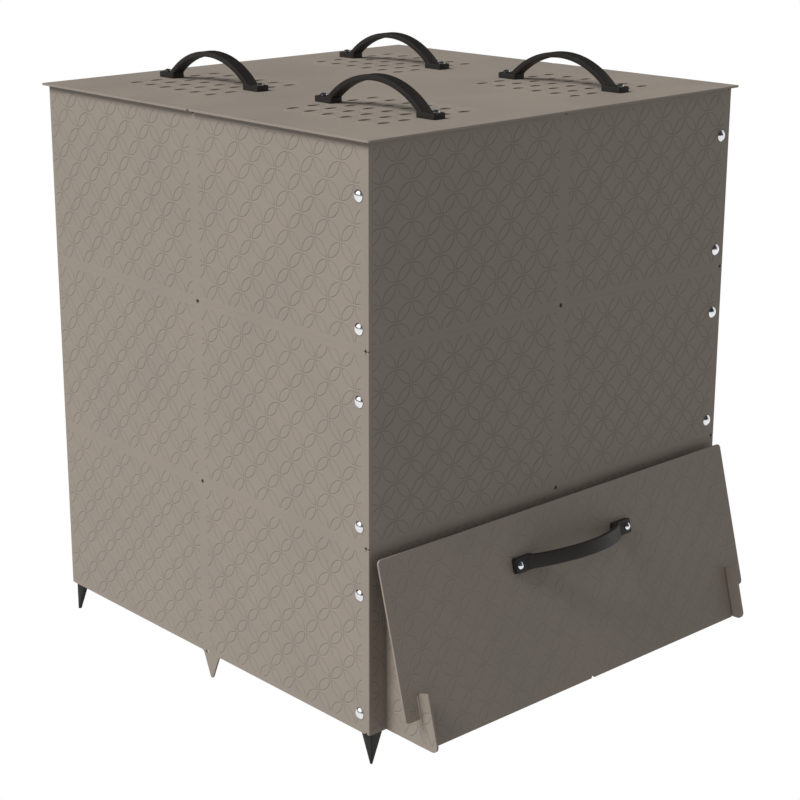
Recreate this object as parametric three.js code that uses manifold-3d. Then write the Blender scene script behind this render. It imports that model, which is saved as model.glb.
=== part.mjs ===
// A square garden compost bin, folded and bolted together from plastic sheet. Three rows of wall panels
// meet at four corner posts, a leaning door hooks over two flaps at the bottom of the front, and the flat
// vented lid folds along its middle. Millimetres, +Z up, +Y towards the back, the door faces -Y.
import * as THREE from "three";
import { mergeVertices } from "three/addons/utils/BufferGeometryUtils.js";
import Module from "manifold-3d";

const wasm = await Module();
wasm.setup();

// Walls
const binSide = 720;          // outside width and depth over the wall sheets
const rowPitch = 269;         // height of one row of panels, with its seam
const rowSeam = 0.4;          // gap between two rows
const sheet = 3;              // thickness of the plastic sheet
const clearance = 0.3;        // gap between two pieces that touch
const foldRadius = 1.2;       // outer edge of a fold; its inner edge is sharp
const flangeDepth = 30;       // outer face of a wall to the edge of its flange
const plainEndInset = 6.3;    // plain end of a panel to the outer face round the corner
const panelRound = 4;         // rounding of the panel corners
const notchRadius = 3;        // half-round notch at each end of a crease
const dipRadius = 2.7;        // half-round dip at each end of a fold, from the outer edge in
const overrun = 5;            // how far a cutter runs past what it cuts

// Ground spikes of the lowest left, right and back panels
const spikeOffset = 10;       // middle of the wall to the middle of the spike
const spikeWidth = 37;
const spikeDepth = 39;
const spikeTipRadius = 3;
const spikeRootRadius = 5;

// Corner posts
const postLeg = 24;
const postThickness = 3;
const postHeel = 1.5;         // rounding of the outer edge
const postDepth = 46;         // ground to the tip of the point
const postTipHalf = 3.4;      // half the width of the blunt tip, across the corner
const postPointHeight = 53;   // tip to where the point reaches the full width
const postTopDrop = 5;        // top of the walls to the top of the posts

// Wall bolts
const boltHeadRadius = 8.25;
const boltHeadHeight = 4;
const boltRadius = 3;
const boltInset = 19;         // bolt to the outer face round the corner
const boltLow = 27;           // lower edge of a panel to its lower bolt
const boltHigh = 69.6;        // upper edge of a panel to its upper bolt
const boltNutWidth = 10;      // across the flats
const boltNutHeight = 5;
const boltTail = 2;           // end of the thread past the nut

// Door opening and its flaps
const railHeight = 28.6;      // sheet left above the opening
const flapInset = 31.5;       // side of the bin to the far face of each flap
const noseRadius = 10;        // rounding of the lowest corner of a flap
const fingerReach = 18.2;     // front of the door to the front edge of a flap

// Door
const doorSideGap = 2;        // side of the bin to the side of the door
const doorLeanDegrees = 14.8;
const doorTopOut = 14.7;      // wall to the door's front face, at its top edge
const doorTopDrop = 10.8;     // top of the lowest row to the top edge of the door
const doorGroundGap = 0.6;
const doorRound = 6;
const slotWidth = 11;
const slotReach = 78;         // lower edge of the door to the end of each slot, along the door
const stripRise = 44;         // lower edge of the door to the end of the strips beside the slots
const doorHandleDrop = 70;    // top edge of the door to the middle of its handle

// Lid
const lidOverhang = 8;
const creaseGap = 0.3;
const lidRound = 3;
const ventColumns = 5;
const ventRows = 6;
const ventPitch = 36.8;
const ventLength = 24;
const ventWidth = 10;

// Handles and their screws
const handleLength = 242;
const handleRise = 47.8;      // sheet to the top of the bow
const bowInset = 20.6;         // end of the handle to the outer face of the bow, half way up the foot
const strapThickness = 8;
const strapWidth = 20;
const footLength = 36;
const footWidth = 22;
const footHeight = 9;
const footRound = 3;
const screwInset = 8;         // end of the handle to the middle of the screw
const screwRadius = 2.5;
const screwHeadRadius = 5.5;
const screwHeadHeight = 3.5;
const screwNutWidth = 8;
const screwNutHeight = 4;
const screwTail = 1.5;

const rowNames = ["bottom", "middle", "top"];
const quarterTurn = Math.PI / 2;
const half = binSide / 2;
const panelHeight = rowPitch - rowSeam;
const wallHeight = (rowNames.length - 1) * rowPitch + panelHeight;
const boltHeights = [boltLow, panelHeight - boltHigh];
const flangeFace = half - sheet - clearance;    // middle of the bin to the outer face of a flange
const stepPlace = plainEndInset - clearance;    // outer face of a wall to where its flange steps in
const throughSheet = 2 * (sheet + overrun);
const openingHeight = panelHeight - railHeight;
const flapTop = openingHeight - clearance;
const flapFace = half - flapInset;
const doorLean = THREE.MathUtils.degToRad(doorLeanDegrees);
const doorTopHeight = panelHeight - doorTopDrop;
const doorHeight = (doorTopHeight - doorGroundGap) / Math.cos(doorLean);
const slotTop = doorHeight - slotReach;
const lidReach = half + lidOverhang;

// Matrices that move or turn a shape.
function shift(x, y, z) {
  return new THREE.Matrix4().makeTranslation(x, y, z);
}

function turnX(angle) {
  return new THREE.Matrix4().makeRotationX(angle);
}

function turnZ(angle) {
  return new THREE.Matrix4().makeRotationZ(angle);
}

// A closed geometry as a solid that can be cut and joined, and back again.
function solid(geometry, matrix = new THREE.Matrix4()) {
  const moved = geometry.clone().applyMatrix4(matrix);
  moved.deleteAttribute("normal");
  moved.deleteAttribute("uv");
  const merged = mergeVertices(moved);
  return new wasm.Manifold(new wasm.Mesh({
    numProp: 3,
    vertProperties: new Float32Array(merged.attributes.position.array),
    triVerts: new Uint32Array(merged.index.array),
  }));
}

function geometryOf(manifold) {
  const { vertProperties, triVerts } = manifold.getMesh();
  const geometry = new THREE.BufferGeometry();
  geometry.setAttribute("position", new THREE.BufferAttribute(new Float32Array(vertProperties), 3));
  geometry.setIndex(new THREE.BufferAttribute(new Uint32Array(triVerts), 1));
  geometry.computeVertexNormals();
  return geometry;
}

function cut(body, cutters) {
  return cutters.reduce((rest, cutter) => rest.subtract(cutter), body);
}

function extruded(shape, depth, curveSegments) {
  return new THREE.ExtrudeGeometry(shape, { depth, bevelEnabled: false, curveSegments });
}

// A shape drawn in x and z, stood upright: it reaches from nearY to nearY + depth.
function upright(shape, depth, nearY, curveSegments = 2) {
  const matrix = shift(0, nearY + depth, 0).multiply(turnX(quarterTurn));
  return solid(extruded(shape, depth, curveSegments), matrix);
}

// A shape drawn in x and y, reaching from z to z + depth.
function raised(shape, depth, z, curveSegments = 2) {
  return solid(extruded(shape, depth, curveSegments), shift(0, 0, z));
}

function block(x0, x1, y0, y1, z0, z1) {
  const middle = shift((x0 + x1) / 2, (y0 + y1) / 2, (z0 + z1) / 2);
  return solid(new THREE.BoxGeometry(x1 - x0, y1 - y0, z1 - z0), middle);
}

// A round cutter along x, y or z, centred on a point.
function pin(axis, x, y, z, radius, length, sides = 8) {
  const turn = { x: turnZ(quarterTurn), y: turnZ(0), z: turnX(quarterTurn) }[axis];
  return solid(new THREE.CylinderGeometry(radius, radius, length, sides), shift(x, y, z).multiply(turn));
}

// The small round hole or half-round notch that ends a crease or a fold.
function notch(axis, x, y, z) {
  return pin(axis, x, y, z, notchRadius, throughSheet, 12);
}

// A rectangle with its corners rounded off.
function roundedRectangle(x0, x1, y0, y1, radius) {
  const shape = new THREE.Shape();
  shape.moveTo(x0 + radius, y0);
  shape.absarc(x1 - radius, y0 + radius, radius, -quarterTurn, 0, false);
  shape.absarc(x1 - radius, y1 - radius, radius, 0, quarterTurn, false);
  shape.absarc(x0 + radius, y1 - radius, radius, quarterTurn, 2 * quarterTurn, false);
  shape.absarc(x0 + radius, y0 + radius, radius, 2 * quarterTurn, 3 * quarterTurn, false);
  return shape;
}

// Wall panels, as they stand in the front wall. From above, a panel is a straight sheet with a flange
// folded back at its left end. The flange steps in, so that the plain end of the next wall lies over it
// and level with the fold.
function panelPlan() {
  const plain = half - plainEndInset;
  const foldCentre = -half + foldRadius;
  const plan = new THREE.Shape();
  plan.moveTo(plain, -half + sheet);
  plan.lineTo(plain, -half);
  plan.lineTo(foldCentre, -half);
  plan.absarc(foldCentre, foldCentre, foldRadius, -quarterTurn, -2 * quarterTurn, true);
  plan.lineTo(-half, -half + stepPlace);
  plan.lineTo(-flangeFace, -half + stepPlace);
  plan.lineTo(-flangeFace, -half + flangeDepth);
  plan.lineTo(-flangeFace + sheet, -half + flangeDepth);
  plan.lineTo(-flangeFace + sheet, -half + sheet);
  return plan;
}

// What rounds off one end of the strip beside the step.
function stripCorner(edge, inward) {
  const radius = stepPlace - dipRadius - clearance;
  const y = -half + stepPlace - radius;
  const z = edge + inward * radius;
  const beyond = edge - inward * overrun;
  const corner = block(-half - overrun, -flangeFace, y, -half + stepPlace + overrun, Math.min(z, beyond),
    Math.max(z, beyond));
  return corner.subtract(pin("x", -half, y, z, radius, throughSheet, 16));
}

// The dip at one end of the fold, half round on both of the faces that meet there.
function foldDip(edge) {
  return pin("y", -half, -half, edge, dipRadius, throughSheet, 12).intersect(
    pin("x", -half, -half, edge, dipRadius, throughSheet, 12));
}

// The holes through the plain end and through the flange.
function cornerBoltHoles() {
  const radius = boltRadius + clearance;
  return boltHeights.flatMap((height) => [
    pin("y", half - boltInset, -half, height, radius, throughSheet),
    pin("x", -flangeFace, -half + boltInset, height, radius, throughSheet),
  ]);
}

// The blank of every panel: folded, with rounded corners, bolt holes, a notch at each end of its crease and
// a dip at each end of its fold. The outline's left corners lie beyond the sheet.
function panelBlank() {
  const outline = roundedRectangle(-half - panelRound, half - plainEndInset, 0, panelHeight, panelRound);
  const face = upright(outline, flangeDepth + 2 * overrun, -half - overrun);
  const ends = [[0, 1], [panelHeight, -1]].flatMap(([edge, inward]) => [
    notch("y", 0, -half, edge), foldDip(edge), stripCorner(edge, inward),
  ]);
  return cut(raised(panelPlan(), panelHeight, 0).intersect(face), [...ends, ...cornerBoltHoles()]);
}

// The spike is part of the sheet, and its root is filleted into the panel's lower edge.
function spikeSolid() {
  const slant = Math.atan2(spikeWidth / 2 - spikeTipRadius, spikeDepth - spikeTipRadius);
  const tipReach = spikeTipRadius * Math.cos(slant);
  const tipStart = spikeTipRadius - spikeDepth - spikeTipRadius * Math.sin(slant);
  const rootIn = spikeRootRadius * Math.sin(slant);
  const rootDown = spikeRootRadius * Math.cos(slant);
  const left = spikeOffset - spikeWidth / 2;
  const right = spikeOffset + spikeWidth / 2;
  const shape = new THREE.Shape();
  shape.moveTo(left - spikeRootRadius, panelRound);
  shape.lineTo(left - spikeRootRadius, 0);
  shape.quadraticCurveTo(left, 0, left + rootIn, -rootDown);
  shape.lineTo(spikeOffset - tipReach, tipStart);
  shape.absarc(spikeOffset, spikeTipRadius - spikeDepth, spikeTipRadius, Math.PI + slant, -slant, false);
  shape.lineTo(right - rootIn, -rootDown);
  shape.quadraticCurveTo(right, 0, right + spikeRootRadius, 0);
  shape.lineTo(right + spikeRootRadius, panelRound);
  return upright(shape, sheet, -half);
}

function spikedPanel(blank) {
  return blank.add(spikeSolid()).subtract(notch("y", 0, -half, 0));
}

// A place beside the leaning door, as distance out from the wall and height. It lies down along the door
// from its top edge, and out from its front face.
function doorPoint(down, out) {
  return new THREE.Vector2(
    doorTopOut + down * Math.sin(doorLean) + out * Math.cos(doorLean),
    doorTopHeight - down * Math.cos(doorLean) + out * Math.sin(doorLean),
  );
}

// How far out from the wall a line parallel to the door is at a height.
function outAt(height, out) {
  const top = doorPoint(0, out);
  return top.x + (top.y - height) * Math.tan(doorLean);
}

// A flap follows the door's back down to the end of the slot, steps out through the slot, where the door
// hangs on it, and runs down in front of the door to a rounded nose.
function flapOutline() {
  const behind = -sheet - clearance;
  const stepOut = doorPoint(slotTop + clearance, fingerReach);
  const stepIn = doorPoint(slotTop + clearance, behind);
  const noseX = outAt(0, fingerReach) - noseRadius / Math.tan((quarterTurn - doorLean) / 2);
  const outline = new THREE.Shape();
  outline.moveTo(0, 0);
  outline.lineTo(noseX, 0);
  outline.absarc(noseX, noseRadius, noseRadius, -quarterTurn, doorLean, false);
  outline.lineTo(stepOut.x, stepOut.y);
  outline.lineTo(stepIn.x, stepIn.y);
  outline.lineTo(outAt(flapTop, behind), flapTop);
  outline.lineTo(0, flapTop);
  return outline;
}

// The left flap: a standing plate, and the fold that joins it to the sheet.
function leftFlap() {
  const outward = new THREE.Vector3(0, -1, 0);
  const up = new THREE.Vector3(0, 0, 1);
  const matrix = new THREE.Matrix4().makeBasis(outward, up, outward.clone().cross(up));
  matrix.setPosition(-flapFace + sheet, -half, 0);
  const plate = solid(extruded(flapOutline(), sheet, 3), matrix);
  const fold = new THREE.Shape();
  const foldX = -flapFace + sheet - foldRadius;
  const foldY = -half + sheet - foldRadius;
  fold.moveTo(-flapFace, -half);
  fold.lineTo(-flapFace + sheet, -half);
  fold.lineTo(-flapFace + sheet, foldY);
  fold.absarc(foldX, foldY, foldRadius, 0, quarterTurn, false);
  fold.lineTo(-flapFace, -half + sheet);
  return plate.add(raised(fold, flapTop, 0));
}

// The panel around the door opening. What filled the opening's sides is bent outward as the two flaps.
function doorFramePanel(blank) {
  const opening = block(-flapFace, flapFace, -half - overrun, -half + sheet + overrun, -overrun, openingHeight);
  const left = leftFlap();
  const framed = blank.subtract(opening).add(left).add(left.mirror([1, 0, 0]));
  return cut(framed, [-flapFace, flapFace].map((x) => notch("y", x, -half, openingHeight)));
}

// Corner post: an angle with a rounded heel, cut to a blunt point across the corner.
function cornerPost() {
  const x = -flangeFace + sheet + clearance;
  const y = -half + sheet + clearance;
  const plan = new THREE.Shape();
  plan.moveTo(x, y + postLeg);
  plan.lineTo(x, y + postHeel);
  plan.absarc(x + postHeel, y + postHeel, postHeel, -2 * quarterTurn, -quarterTurn, false);
  plan.lineTo(x + postLeg, y);
  plan.lineTo(x + postLeg, y + postThickness);
  plan.lineTo(x + postThickness, y + postThickness);
  plan.lineTo(x + postThickness, y + postLeg);
  const angle = raised(plan, wallHeight + postDepth - postTopDrop, -postDepth);

  const point = new THREE.Shape();
  point.moveTo(-postTipHalf, -postDepth);
  point.lineTo(postTipHalf, -postDepth);
  point.lineTo(postLeg, postPointHeight - postDepth);
  point.lineTo(postLeg, wallHeight);
  point.lineTo(-postLeg, wallHeight);
  point.lineTo(-postLeg, postPointHeight - postDepth);
  const across = shift(x, y, 0).multiply(turnZ(-quarterTurn / 2));
  const pointed = upright(point, 2 * postLeg, -postLeg).transform(across.elements);

  const holes = rowNames.flatMap((name, row) => boltHeights.map((height) => (
    pin("x", x, -half + boltInset, row * rowPitch + height, boltRadius + clearance, 2 * postLeg)
  )));
  return cut(angle.intersect(pointed), holes);
}

// A domed bolt along y: its head rests on the sheet at y = 0 and points to -y, and its nut closes on
// whatever it clamps.
function domedBolt({ headRadius, headHeight, radius, grip, nutWidth, nutHeight, tail }) {
  const end = grip + clearance + nutHeight + tail;
  const profile = [
    new THREE.Vector2(0, -clearance - headHeight),
    new THREE.Vector2(headRadius * Math.SQRT1_2, -clearance - headHeight * Math.SQRT1_2),
    new THREE.Vector2(headRadius, -clearance),
    new THREE.Vector2(radius, -clearance),
    new THREE.Vector2(radius, end),
    new THREE.Vector2(0, end),
  ];
  const nutRadius = nutWidth / 2 / Math.cos(Math.PI / 6);
  const nut = new THREE.CylinderGeometry(nutRadius, nutRadius, nutHeight, 6);
  const nutPlace = shift(0, grip + clearance + nutHeight / 2, 0);
  return geometryOf(solid(new THREE.LatheGeometry(profile, 10)).add(solid(nut, nutPlace)));
}

// Distance of the two screws of a handle from its middle.
function screwPlaces() {
  const reach = handleLength / 2 - screwInset;
  return [-reach, reach];
}

// Handle lying along x on the plane z = 0: two feet and a bow of flat strap. The bow is an arc through its
// top and through the middles of the two feet.
function handleSolid() {
  const end = handleLength / 2;
  const bowReach = end - bowInset;
  const bowHeight = handleRise - footHeight / 2;
  const bowRadius = (bowReach ** 2 + bowHeight ** 2) / (2 * bowHeight);
  const centreZ = handleRise - bowRadius;
  const inside = bowRadius - strapThickness;
  const rootZ = footHeight / 2 - centreZ;
  const outer = Math.acos(rootZ / bowRadius);
  const inner = Math.acos(rootZ / inside);
  const bow = new THREE.Shape();
  bow.absarc(0, centreZ, bowRadius, quarterTurn - outer, quarterTurn + outer, false);
  bow.absarc(0, centreZ, inside, quarterTurn + inner, quarterTurn - inner, true);
  let body = upright(bow, strapWidth, -strapWidth / 2, 10);
  for (const [x0, x1] of [[-end, -end + footLength], [end - footLength, end]]) {
    const foot = roundedRectangle(x0, x1, -footWidth / 2, footWidth / 2, footRound);
    body = body.add(raised(foot, footHeight, 0));
  }
  return cut(body, screwPlaces().map((x) => pin("z", x, 0, 0, screwRadius + clearance, 2 * handleRise)));
}

// Door, drawn flat: x across, y up from its top edge at y = 0, z out of its front face.
function doorSolid() {
  const side = half - doorSideGap;
  const slotMiddle = flapFace - sheet / 2;
  const slotEdge = slotMiddle - slotWidth / 2;
  const slotArch = slotTop + slotWidth / 2;
  const stripEnd = doorHeight - stripRise;
  const wide = roundedRectangle(-side, side, -stripEnd, 0, doorRound);
  const middle = roundedRectangle(-slotEdge, slotEdge, -doorHeight, -slotTop, doorRound);
  const cutters = [notch("z", 0, 0, 0), notch("z", 0, -doorHeight, 0)];
  for (const x of [-slotMiddle, slotMiddle]) {
    cutters.push(pin("z", x, -slotArch, 0, slotWidth / 2, throughSheet, 16));
    const nearSide = x - slotWidth / 2;
    cutters.push(block(nearSide, nearSide + slotWidth, -doorHeight, -slotArch, -sheet - overrun, overrun));
  }
  for (const x of screwPlaces()) {
    cutters.push(pin("z", x, -doorHandleDrop, 0, screwRadius + clearance, throughSheet));
  }
  return cut(raised(wide, sheet, -sheet).add(raised(middle, sheet, -sheet)), cutters);
}

// A vent is a lens between two curves.
function ventCutter() {
  const reach = ventLength / 2;
  const lens = new THREE.Shape();
  lens.moveTo(-reach, 0);
  lens.quadraticCurveTo(0, -ventWidth, reach, 0);
  lens.quadraticCurveTo(0, ventWidth, -reach, 0);
  return raised(lens, sheet + 2 * overrun, -sheet - overrun, 3);
}

// The front half of the lid, drawn flat: its top face at z = 0 and the crease at y = 0.
function lidHalfSolid() {
  const whole = raised(roundedRectangle(-lidReach, lidReach, -lidReach, lidReach, lidRound), sheet, -sheet);
  const pastSide = lidReach + overrun;
  const cutters = [
    block(-pastSide, pastSide, -creaseGap / 2, pastSide, -sheet - overrun, overrun),
    notch("z", -lidReach, 0, 0),
    notch("z", lidReach, 0, 0),
  ];
  const vent = ventCutter();
  for (const middleX of [-lidReach / 2, lidReach / 2]) {
    for (let column = 0; column < ventColumns; column += 1) {
      for (let row = 0; row < ventRows; row += 1) {
        const x = middleX + (column - (ventColumns - 1) / 2) * ventPitch;
        const y = -lidReach / 2 + (row - (ventRows - 1) / 2) * ventPitch;
        cutters.push(vent.translate([x, y, 0]));
      }
    }
    for (const along of screwPlaces()) {
      cutters.push(pin("z", middleX, -lidReach / 2 + along, 0, screwRadius + clearance, throughSheet));
    }
  }
  return cut(whole, cutters);
}

// Finishes
function finish(color, roughness, metalness = 0) {
  return new THREE.MeshStandardMaterial({ color, roughness, metalness });
}
const taupeSheet = finish(0x8f867b, 0.62);
const blackPlastic = finish(0x2b2a29, 0.5);
const blackPaint = finish(0x232221, 0.45, 0.2);
const brightSteel = finish(0xc4c6c8, 0.3, 0.9);

function named(name, geometry, material) {
  const mesh = new THREE.Mesh(geometry, material);
  mesh.name = name;
  return mesh;
}

// A wall is built as the front wall and turned to its place, with a corner post at its left end and its
// bolts at its right end.
function wall(name, corner, turns, lowest, shared) {
  const group = new THREE.Group();
  rowNames.forEach((rowName, row) => {
    const panel = row === 0
      ? named(lowest.name, lowest.geometry, taupeSheet)
      : named(`${name}_panel_${rowName}`, shared.panel, taupeSheet);
    panel.position.z = row * rowPitch;
    group.add(panel);
    boltHeights.forEach((height, index) => {
      const number = row * boltHeights.length + index + 1;
      const bolt = named(`${name}_bolt_${number}`, shared.bolt, brightSteel);
      bolt.position.set(half - boltInset, -half, row * rowPitch + height);
      group.add(bolt);
    });
  });
  group.add(named(`corner_post_${corner}`, shared.post, blackPaint));
  group.rotation.z = turns * quarterTurn;
  return group;
}

function wallSet() {
  const blank = panelBlank();
  const spiked = geometryOf(spikedPanel(blank));
  const frame = { name: "door_frame_panel", geometry: geometryOf(doorFramePanel(blank)) };
  const shared = {
    panel: geometryOf(blank),
    post: geometryOf(cornerPost()),
    bolt: domedBolt({
      headRadius: boltHeadRadius,
      headHeight: boltHeadHeight,
      radius: boltRadius,
      grip: 2 * sheet + postThickness + 2 * clearance,
      nutWidth: boltNutWidth,
      nutHeight: boltNutHeight,
      tail: boltTail,
    }),
  };
  return [
    wall("front", "front_left", 0, frame, shared),
    wall("right", "front_right", 1, { name: "right_panel_bottom", geometry: spiked }, shared),
    wall("back", "back_right", 2, { name: "back_panel_bottom", geometry: spiked }, shared),
    wall("left", "back_left", 3, { name: "left_panel_bottom", geometry: spiked }, shared),
  ];
}

// A handle with its two screws, on a sheet whose outer face is z = 0.
function handleSet(name, shared) {
  const group = new THREE.Group();
  const handle = named(`${name}_handle`, shared.handle, blackPlastic);
  handle.position.z = clearance;
  group.add(handle);
  screwPlaces().forEach((x, index) => {
    const screw = named(`${name}_screw_${index + 1}`, shared.screw, brightSteel);
    screw.position.set(x, 0, footHeight + clearance);
    screw.rotation.x = -quarterTurn;
    group.add(screw);
  });
  return group;
}

function door(shared) {
  const group = new THREE.Group();
  group.add(named("door", geometryOf(doorSolid()), taupeSheet));
  const handle = handleSet("door", shared);
  handle.position.y = -doorHandleDrop;
  group.add(handle);
  group.position.set(0, -half - doorTopOut, doorTopHeight);
  group.rotation.x = quarterTurn - doorLean;
  return group;
}

// Both halves of the lid are alike, the rear one turned half round.
function lid(shared) {
  const group = new THREE.Group();
  const halfGeometry = geometryOf(lidHalfSolid());
  for (const [name, turns, first, second] of [["front", 0, "left", "right"], ["rear", 2, "right", "left"]]) {
    const leaf = new THREE.Group();
    leaf.add(named(`lid_${name}`, halfGeometry, taupeSheet));
    for (const [side, x] of [[first, -lidReach / 2], [second, lidReach / 2]]) {
      const handle = handleSet(`lid_${name}_${side}`, shared);
      handle.position.set(x, -lidReach / 2, 0);
      handle.rotation.z = quarterTurn;
      leaf.add(handle);
    }
    leaf.rotation.z = turns * quarterTurn;
    group.add(leaf);
  }
  group.position.z = wallHeight + clearance + sheet;
  return group;
}

const handleParts = {
  handle: geometryOf(handleSolid()),
  screw: domedBolt({
    headRadius: screwHeadRadius,
    headHeight: screwHeadHeight,
    radius: screwRadius,
    grip: footHeight + clearance + sheet,
    nutWidth: screwNutWidth,
    nutHeight: screwNutHeight,
    tail: screwTail,
  }),
};

// The origin is the middle of the box that the whole bin fills, at the level of the post tips.
const bin = new THREE.Group();
bin.add(...wallSet(), door(handleParts), lid(handleParts));
bin.updateMatrixWorld(true);
const bounds = new THREE.Box3().setFromObject(bin, true);
bin.position.set(-(bounds.min.x + bounds.max.x) / 2, -(bounds.min.y + bounds.max.y) / 2, -bounds.min.z);
bin.updateMatrixWorld(true);

export default bin;
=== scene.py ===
import math

import bmesh
import bpy
from mathutils import Matrix, Vector


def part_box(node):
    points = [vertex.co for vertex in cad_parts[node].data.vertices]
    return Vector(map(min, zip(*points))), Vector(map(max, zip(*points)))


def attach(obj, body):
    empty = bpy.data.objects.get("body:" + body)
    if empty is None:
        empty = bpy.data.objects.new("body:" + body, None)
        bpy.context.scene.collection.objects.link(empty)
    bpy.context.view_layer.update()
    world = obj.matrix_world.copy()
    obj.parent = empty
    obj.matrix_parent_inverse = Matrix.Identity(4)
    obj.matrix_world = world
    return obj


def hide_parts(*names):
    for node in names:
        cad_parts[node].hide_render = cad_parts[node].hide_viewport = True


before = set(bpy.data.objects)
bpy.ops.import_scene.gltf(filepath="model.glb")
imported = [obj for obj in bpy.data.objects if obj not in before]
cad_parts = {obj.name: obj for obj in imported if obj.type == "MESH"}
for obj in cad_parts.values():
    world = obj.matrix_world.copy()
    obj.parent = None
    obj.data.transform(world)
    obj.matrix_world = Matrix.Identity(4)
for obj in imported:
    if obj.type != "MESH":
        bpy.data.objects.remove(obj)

mm = 0.001
quarterTurn = math.pi / 2
root2 = math.sqrt(2)
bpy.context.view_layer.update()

# Sizes that the solids give, and what all pieces share
midPanelLow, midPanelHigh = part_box("front_panel_middle")
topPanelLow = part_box("front_panel_top")[0]
lidLow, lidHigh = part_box("lid_front")
binHalf = -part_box("left_panel_middle")[0].x
plainEnd = midPanelHigh.x
flangeDepth = midPanelHigh.y - midPanelLow.y
panelHeight = midPanelHigh.z - midPanelLow.z
rowPitch = topPanelLow.z - midPanelLow.z
wallBottom = midPanelLow.z - rowPitch
sheet = lidHigh.z - lidLow.z
gap = 0.3 * mm
smallRound = 4 * mm
planeTolerance = 1e-7
weldDistance = 1e-6
flangeFace = binHalf - sheet - gap
centreY = (midPanelLow.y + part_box("back_panel_middle")[1].y) / 2

wallNames = ["front", "right", "back", "left"]
cornerNames = ["front_left", "front_right", "back_right", "back_left"]
rowNames = ["bottom", "middle", "top"]


# Small helpers

def everything(bm):
    return bm.verts[:] + bm.edges[:] + bm.faces[:]


def vertsOf(geom):
    return [item for item in geom if isinstance(item, bmesh.types.BMVert)]


def cutPlane(bm, point, normal, clear=True):
    # Cuts along a plane, and drops what the normal points to.
    bmesh.ops.bisect_plane(bm, geom=everything(bm), dist=planeTolerance, plane_co=point, plane_no=normal,
                           clear_outer=clear)


def roundEdges(bm, edges, offset, segments=2):
    bmesh.ops.bevel(bm, geom=edges, offset=offset, offset_type="OFFSET", affect="EDGES", segments=segments,
                    profile=0.5, material=-1)


def edgesAlong(bm, axis):
    # The edges of a box that run along one axis.
    return [edge for edge in bm.edges
            if abs(edge.verts[0].co[axis] - edge.verts[1].co[axis]) > planeTolerance]


def addBox(bm, middle, size):
    bmesh.ops.create_cube(bm, size=1, matrix=Matrix.Translation(middle) @ Matrix.Diagonal((*size, 1)))


def weld(bm):
    bmesh.ops.remove_doubles(bm, verts=bm.verts[:], dist=weldDistance)


def meshFrom(bm, name):
    mesh = bpy.data.meshes.new(name)
    bm.to_mesh(mesh)
    bm.free()
    return mesh


def addMesh(bm, mesh, matrix=Matrix.Identity(4)):
    before = len(bm.verts)
    bm.from_mesh(mesh)
    bm.verts.ensure_lookup_table()
    bmesh.ops.transform(bm, matrix=matrix, verts=bm.verts[before:])


def arcPoints(x, y, radius, start, end, steps=10):
    # Places along an arc, as corners that need no rounding.
    turns = [start + (end - start) * step / steps for step in range(steps + 1)]
    return [(x + radius * math.cos(turn), y + radius * math.sin(turn), 0) for turn in turns]


def roundedFace(bm, corners):
    # One face at z = 0. Each corner is x, y and how far its rounding runs along the two edges.
    verts = [bm.verts.new((x, y, 0)) for x, y, run in corners]
    bm.faces.new(verts)
    for run in sorted({corner[2] for corner in corners if corner[2] > 0}):
        picked = [vert for vert, corner in zip(verts, corners) if corner[2] == run]
        segments = 5 if run < smallRound else 8
        bmesh.ops.bevel(bm, geom=picked, offset=run, offset_type="OFFSET", affect="VERTICES",
                        segments=segments, profile=0.5, material=-1)
    return bm.faces[:][-1]


def newObject(name, data):
    made = bpy.data.objects.new(name, data)
    bpy.context.scene.collection.objects.link(made)
    return made


def combined(mesh, cutters, operation):
    # The mesh with closed cutters taken away from it, or joined to it.
    body = newObject("body", mesh)
    others = []
    for cutter in cutters:
        other = newObject("cutter", cutter)
        modifier = body.modifiers.new("combine", "BOOLEAN")
        modifier.object = other
        modifier.operation = operation
        modifier.solver = "EXACT"
        others.append(other)
    graph = bpy.context.evaluated_depsgraph_get()
    result = bpy.data.meshes.new_from_object(body.evaluated_get(graph))
    for item in [body, *others]:
        bpy.data.objects.remove(item)
    return result


def prism(corners, height):
    # A closed block of one outline, from z = 0 up.
    bm = bmesh.new()
    face = roundedFace(bm, corners)
    raised = bmesh.ops.extrude_face_region(bm, geom=[face])["geom"]
    bmesh.ops.translate(bm, vec=(0, 0, height), verts=vertsOf(raised))
    bmesh.ops.recalc_face_normals(bm, faces=bm.faces[:])
    return bm


holeSegments = 20


def roundCutter(radius, place):
    # A cutter for a small hole, half of it on either side of its place.
    bm = bmesh.new()
    bmesh.ops.create_cone(bm, cap_ends=True, segments=holeSegments, radius1=radius, radius2=radius,
                          depth=4 * sheet, matrix=place)
    return meshFrom(bm, "roundCutter")


def boreThrough(bm, edges):
    # Runs the rim of a hole from the front of a sheet to its back.
    bore = bmesh.ops.extrude_edge_only(bm, edges=edges)["geom"]
    bmesh.ops.translate(bm, vec=(0, 0, -sheet), verts=vertsOf(bore))


# Materials

def socket(tree, name, kind, direction="INPUT"):
    tree.interface.new_socket(name=name, in_out=direction, socket_type=kind)


def mathNode(tree, operation, *values):
    # A maths node fed by sockets and plain numbers.
    made = tree.nodes.new("ShaderNodeMath")
    made.operation = operation
    for entry, value in zip(made.inputs, values):
        if isinstance(value, (int, float)):
            entry.default_value = value
        else:
            tree.links.new(value, entry)
    return made.outputs["Value"]


def rangeNode(tree, value, low, high, kind="LINEAR"):
    # Runs from 0 to 1 as the value goes from low to high.
    made = tree.nodes.new("ShaderNodeMapRange")
    made.interpolation_type = kind
    made.inputs["From Min"].default_value = low
    made.inputs["From Max"].default_value = high
    tree.links.new(value, made.inputs["Value"])
    return made.outputs["Result"]


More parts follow.
